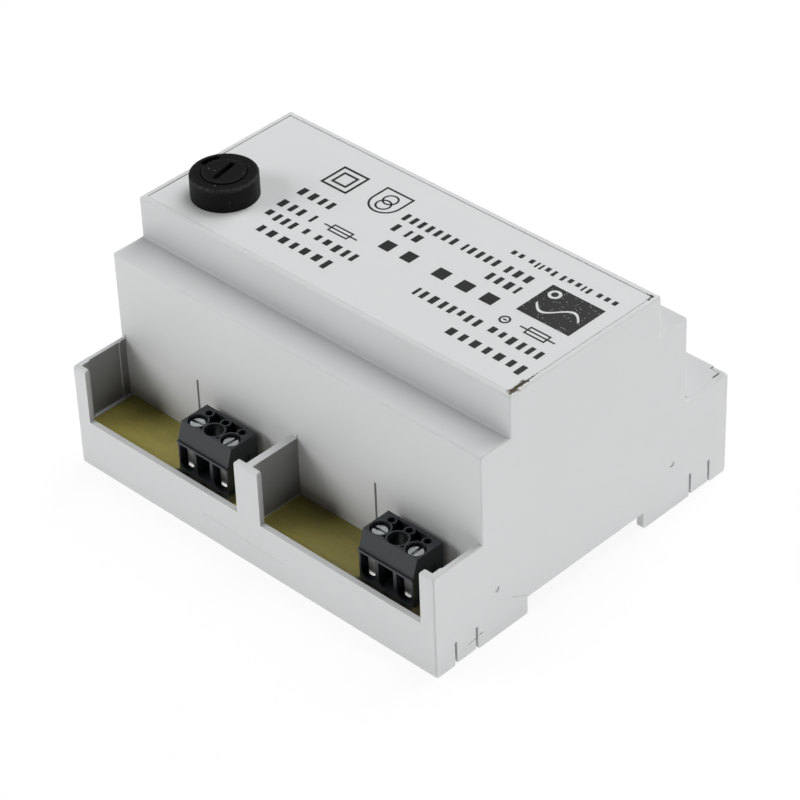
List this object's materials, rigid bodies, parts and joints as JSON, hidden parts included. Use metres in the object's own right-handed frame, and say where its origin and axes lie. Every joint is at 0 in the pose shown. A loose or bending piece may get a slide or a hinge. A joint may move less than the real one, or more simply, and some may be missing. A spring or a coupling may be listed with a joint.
{
  "type": "din rail transformer",
  "caption": "Encapsulated mains transformer in a stepped grey rail-mount housing, with an open terminal trough, screw terminal blocks and a screw-in fuse holder.",
  "frame": {"origin": "centre of the bottom of the bounding box, in the plane of the housing's feet, midway along and across the housing", "axes": "+X along the rail to the visible end, +Y across the rail away from the open terminal trough, +Z out of the wall towards the front plate"},
  "size_m": [0.1056, 0.09, 0.0634],
  "materials": {
    "housing_plastic": "light cool grey moulding with fine dark specks",
    "plate_plastic": "light cool grey plate, fine matt",
    "base_plastic": "light grey moulding",
    "latch_plastic": "dark grey moulding",
    "board_laminate": "olive brown laminate, satin",
    "core_steel": "stacked sheet steel, varnished edges",
    "screw_steel": "zinc plated",
    "former_plastic": "natural white moulding",
    "copper_wire": "enamelled copper wire, glossy",
    "barrier_tape": "yellow film tape",
    "lead_primary": "black insulation",
    "lead_secondary": "red insulation",
    "fuse_plastic": "black moulding, satin",
    "contact_brass": "tinned brass",
    "fuse_glass": "clear glass",
    "cap_metal": "nickel plated, bright",
    "wire_metal": "thin fuse wire",
    "terminal_plastic": "anthracite moulding, satin",
    "clamp_metal": "tinned clamp",
    "guard_metal": "bright spring strip",
    "terminal_screw_steel": "zinc plated"
  },
  "bodies": {
    "transformer": {"housing_shell": "housing_plastic", "front_plate": "plate_plastic", "left_terminal_cover": "housing_plastic", "right_terminal_cover": "housing_plastic", "base_plate": "base_plastic", "terminal_board": "board_laminate", "core_e_stack": "core_steel", "core_i_stack": "core_steel", "core_screws": "screw_steel", "coil_former": "former_plastic", "primary_winding": "copper_wire", "winding_barrier": "barrier_tape", "secondary_winding": "copper_wire", "primary_leads": "lead_primary", "secondary_leads": "lead_secondary", "fuse_holder_body": "fuse_plastic", "fuse_holder_nut": "fuse_plastic", "fuse_lower_contact": "contact_brass", "fuse_upper_contact": "contact_brass", "fuse_leads": "lead_primary", "left_terminal_block": "terminal_plastic", "right_terminal_block": "terminal_plastic", "clamp_body_1": "clamp_metal", "clamp_body_2": "clamp_metal", "clamp_body_3": "clamp_metal", "clamp_body_4": "clamp_metal"},
    "clamp_1": {"wire_guard_1": "guard_metal"},
    "screw_1": {"terminal_screw_1": "terminal_screw_steel"},
    "clamp_2": {"wire_guard_2": "guard_metal"},
    "screw_2": {"terminal_screw_2": "terminal_screw_steel"},
    "clamp_3": {"wire_guard_3": "guard_metal"},
    "screw_3": {"terminal_screw_3": "terminal_screw_steel"},
    "clamp_4": {"wire_guard_4": "guard_metal"},
    "screw_4": {"terminal_screw_4": "terminal_screw_steel"},
    "fuse": {"fuse_glass_tube": "fuse_glass", "fuse_lower_cap": "cap_metal", "fuse_upper_cap": "cap_metal", "fuse_wire": "wire_metal"},
    "fuse_carrier": {"fuse_carrier": "fuse_plastic"},
    "left_latch": {"left_rail_latch": "latch_plastic"},
    "right_latch": {"right_rail_latch": "latch_plastic"}
  },
  "joints": [
    {"name": "clamp_1_travel", "type": "slide", "parent": "transformer", "child": "clamp_1", "axis": [0, 0, 1], "range_m": [-0.00065, 0]},
    {"name": "screw_1_turn", "type": "hinge", "parent": "clamp_1", "child": "screw_1", "pos_m": [-0.02205, -0.0377, 0.0223], "axis": [0, 0, 1], "range_deg": [-469, 0]},
    {"name": "clamp_2_travel", "type": "slide", "parent": "transformer", "child": "clamp_2", "axis": [0, 0, 1], "range_m": [-0.00065, 0]},
    {"name": "screw_2_turn", "type": "hinge", "parent": "clamp_2", "child": "screw_2", "pos_m": [-0.01205, -0.0377, 0.0223], "axis": [0, 0, 1], "range_deg": [-469, 0]},
    {"name": "clamp_3_travel", "type": "slide", "parent": "transformer", "child": "clamp_3", "axis": [0, 0, 1], "range_m": [-0.00065, 0]},
    {"name": "screw_3_turn", "type": "hinge", "parent": "clamp_3", "child": "screw_3", "pos_m": [0.03105, -0.0377, 0.0223], "axis": [0, 0, 1], "range_deg": [-469, 0]},
    {"name": "clamp_4_travel", "type": "slide", "parent": "transformer", "child": "clamp_4", "axis": [0, 0, 1], "range_m": [-0.00065, 0]},
    {"name": "screw_4_turn", "type": "hinge", "parent": "clamp_4", "child": "screw_4", "pos_m": [0.04105, -0.0377, 0.0223], "axis": [0, 0, 1], "range_deg": [-469, 0]},
    {"name": "fuse_draw", "type": "slide", "parent": "transformer", "child": "fuse", "axis": [0, 0, 1], "range_m": [0, 0.03]},
    {"name": "fuse_carrier_turn", "type": "hinge", "parent": "fuse", "child": "fuse_carrier", "pos_m": [-0.04, -0.0095, 0.06295], "axis": [0, 0, 1], "range_deg": [0, 90]},
    {"name": "left_latch_slide", "type": "slide", "parent": "transformer", "child": "left_latch", "axis": [0, 1, 0], "range_m": [0, 0.003]},
    {"name": "right_latch_slide", "type": "slide", "parent": "transformer", "child": "right_latch", "axis": [0, 1, 0], "range_m": [0, 0.003]}
  ],
  "couplings": [
    {"joint": "screw_1_turn", "follows": "clamp_1_travel", "rad_per_m": 12566},
    {"joint": "screw_2_turn", "follows": "clamp_2_travel", "rad_per_m": 12566},
    {"joint": "screw_3_turn", "follows": "clamp_3_travel", "rad_per_m": 12566},
    {"joint": "screw_4_turn", "follows": "clamp_4_travel", "rad_per_m": 12566}
  ]
}
